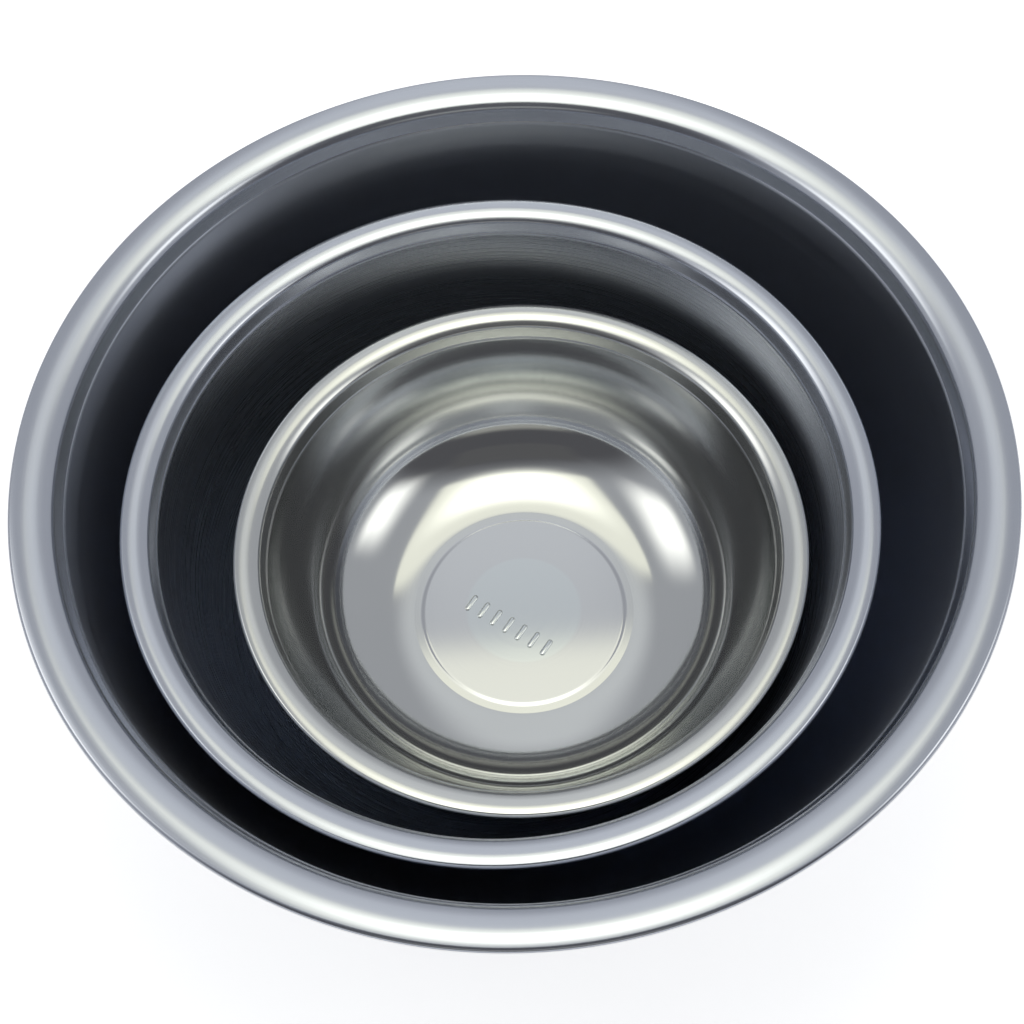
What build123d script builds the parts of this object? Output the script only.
"""A nest of three round stainless-steel hospital bowls, each one pressed from one round sheet.

Every bowl is a sheet of constant thickness turned about its own upright axis. From the middle
outwards the sheet runs: a raised centre disc, a narrow flat foot ring, a shallow bottom curve, a
tighter corner, a wall that curves gently until it is nearly upright, a fine crease, a steep straight
collar, and a rim flange that is domed over a tight shoulder and rolled under at its outer edge. The
smaller bowls stand in the larger ones, foot ring on raised centre disc, a few millimetres off
centre. All sizes are in millimetres and all slopes in degrees.
"""
import os
from math import acos, cos, degrees, radians, sin

from build123d import *

# Slopes that all three pressings share, measured up from level
FOOT_SLOPE = 5.0
BOTTOM_SLOPE = 30.0
CORNER_SLOPE = 58.0
WALL_TOP_SLOPE = 88.0
CREASE_SLOPE = 52.0
COLLAR_SLOPE = 74.0
SHOULDER_SLOPE = 35.0
RIM_EDGE_SLOPE = -4.5
ROLL_END_SLOPE = -192.0

# The tight turn where the bottom curve leaves the flat foot ring
FOOT_RADIUS = 4.0

# The crease where the wall meets the rim flange: a fine ledge between two tight bends
CREASE_RADIUS = 1.3

# Centre disc, raised above the foot ring by a small step
DISC_RISE = 0.8
STEP_TOP_RADIUS = 1.2
STEP_FOOT_RADIUS = 1.0

# The three pressings: radius is at the rolled edge, height is from foot to rim crest,
# collar is its length up the slope, foot_place is where the middle of the foot stands in the nest
LARGE = {
    "radius": 125.0,
    "height": 100.0,
    "sheet": 0.7,
    "disc_radius": 46.0,
    "bottom_radius": 60.0,
    "corner_radius": 40.0,
    "collar": 3.1,
    "shoulder_radius": 3.8,
    "rim_radius": 12.4,
    "roll_radius": 1.05,
    "foot_place": (0.0, 0.0),
}
MEDIUM = {
    "radius": 100.0,
    "height": 75.0,
    "sheet": 0.6,
    "disc_radius": 39.5,
    "bottom_radius": 47.0,
    "corner_radius": 34.0,
    "collar": 2.8,
    "shoulder_radius": 1.9,
    "rim_radius": 8.8,
    "roll_radius": 1.05,
    "foot_place": (-4.0, -1.4),
}
SMALL = {
    "radius": 80.0,
    "height": 50.0,
    "sheet": 0.6,
    "disc_radius": 32.0,
    "bottom_radius": 46.5,
    "corner_radius": 27.5,
    "collar": 3.0,
    "shoulder_radius": 2.1,
    "rim_radius": 8.6,
    "roll_radius": 1.05,
    "foot_place": (1.0, -2.8),
}


def face_path(bowl):
    """The stretches of the bowl's upper face from the middle outwards.

    Each is ("line", length) or ("bend", radius, slope at its end). The foot ring's width and the
    wall's radius are what makes the bowl come out at its full radius and height.
    """
    step = degrees(acos(1 - DISC_RISE / (STEP_TOP_RADIUS + STEP_FOOT_RADIUS)))
    step_reach = (STEP_TOP_RADIUS + STEP_FOOT_RADIUS) * sin(radians(step))
    bottom = [
        ("bend", FOOT_RADIUS, FOOT_SLOPE),
        ("bend", bowl["bottom_radius"], BOTTOM_SLOPE),
        ("bend", bowl["corner_radius"], CORNER_SLOPE),
    ]
    crease = [
        ("bend", CREASE_RADIUS, CREASE_SLOPE),
        ("bend", CREASE_RADIUS, COLLAR_SLOPE),
    ]
    dome = [
        ("bend", bowl["shoulder_radius"], SHOULDER_SLOPE),
        ("bend", bowl["rim_radius"], 0.0),
    ]
    edge = [
        ("bend", bowl["rim_radius"], RIM_EDGE_SLOPE),
        ("bend", bowl["roll_radius"], -90.0),
    ]
    collar_rise = bowl["collar"] * sin(radians(COLLAR_SLOPE))
    collar_reach = bowl["collar"] * cos(radians(COLLAR_SLOPE))
    wall_rise = bowl["height"] - bowl["sheet"] - rise_of(bottom) - collar_rise
    wall_rise -= rise_of(crease + dome, WALL_TOP_SLOPE)
    wall_radius = wall_rise / (cos(radians(CORNER_SLOPE)) - cos(radians(WALL_TOP_SLOPE)))
    wall = [("bend", wall_radius, WALL_TOP_SLOPE)]
    ring_end = bowl["radius"] - reach_of(bottom + wall + crease + dome + edge) - collar_reach
    return [
        ("line", bowl["disc_radius"] - step_reach),
        ("bend", STEP_TOP_RADIUS, -step),
        ("bend", STEP_FOOT_RADIUS, 0.0),
        ("line", ring_end - bowl["disc_radius"]),
        *bottom,
        *wall,
        *crease,
        ("line", bowl["collar"]),
        *dome,
        edge[0],
        ("bend", bowl["roll_radius"], ROLL_END_SLOPE),
    ]


def rise_of(bends, slope=0.0):
    """How far a run of bends climbs, starting at a slope."""
    rise = 0.0
    for _, radius, end in bends:
        rise += radius * abs(cos(radians(slope)) - cos(radians(end)))
        slope = end
    return rise


def reach_of(bends, slope=0.0):
    """How far a run of bends goes outwards, starting at a slope."""
    reach = 0.0
    for _, radius, end in bends:
        reach += radius * abs(sin(radians(end)) - sin(radians(slope)))
        slope = end
    return reach


def section(bowl):
    """The sheet's half section in the X-Z plane, foot at z 0: upper face, edge, lower face, axis."""
    sheet = bowl["sheet"]
    x, z, slope = 0.0, sheet + DISC_RISE, 0.0
    upper, lower = [], []
    for stretch in face_path(bowl):
        if stretch[0] == "line":
            end_x = x + stretch[1] * cos(radians(slope))
            end_z = z + stretch[1] * sin(radians(slope))
            drop_x = sheet * sin(radians(slope))
            drop_z = -sheet * cos(radians(slope))
            upper.append(Line((x, 0, z), (end_x, 0, end_z)))
            lower.append(Line((x + drop_x, 0, z + drop_z), (end_x + drop_x, 0, end_z + drop_z)))
        else:
            radius, end_slope = stretch[1], stretch[2]
            turn = 1.0 if end_slope > slope else -1.0
            middle_x = x - turn * radius * sin(radians(slope))
            middle_z = z + turn * radius * cos(radians(slope))
            end_x = middle_x + turn * radius * sin(radians(end_slope))
            end_z = middle_z - turn * radius * cos(radians(end_slope))
            for edges, reach in ((upper, radius), (lower, radius + turn * sheet)):
                points = []
                for angle in (slope, (slope + end_slope) / 2, end_slope):
                    px = middle_x + turn * reach * sin(radians(angle))
                    pz = middle_z - turn * reach * cos(radians(angle))
                    points.append((px, 0, pz))
                edges.append(ThreePointArc(*points))
            slope = end_slope
        x, z = end_x, end_z
    edge = Line(upper[-1] @ 1, lower[-1] @ 1)
    axis = Line(lower[0] @ 0, upper[0] @ 0)
    return Face(Wire(upper + [edge] + lower + [axis]))


def bowl_solid(bowl, foot_height):
    """The whole pressing, standing at its place in the nest."""
    across, along = bowl["foot_place"]
    sheet = revolve(section(bowl), Axis.Z, 360)
    return Pos(across, along, foot_height) * sheet


def nest():
    """Each bowl by name, standing on the raised disc of the one below."""
    seat_large = LARGE["sheet"] + DISC_RISE
    seat_medium = seat_large + MEDIUM["sheet"] + DISC_RISE
    return {
        "large_bowl": bowl_solid(LARGE, 0.0),
        "medium_bowl": bowl_solid(MEDIUM, seat_large),
        "small_bowl": bowl_solid(SMALL, seat_medium),
    }


os.makedirs("parts", exist_ok=True)
for name, solid in nest().items():
    solid.label = name
    export_step(solid, f"parts/{name}.step")
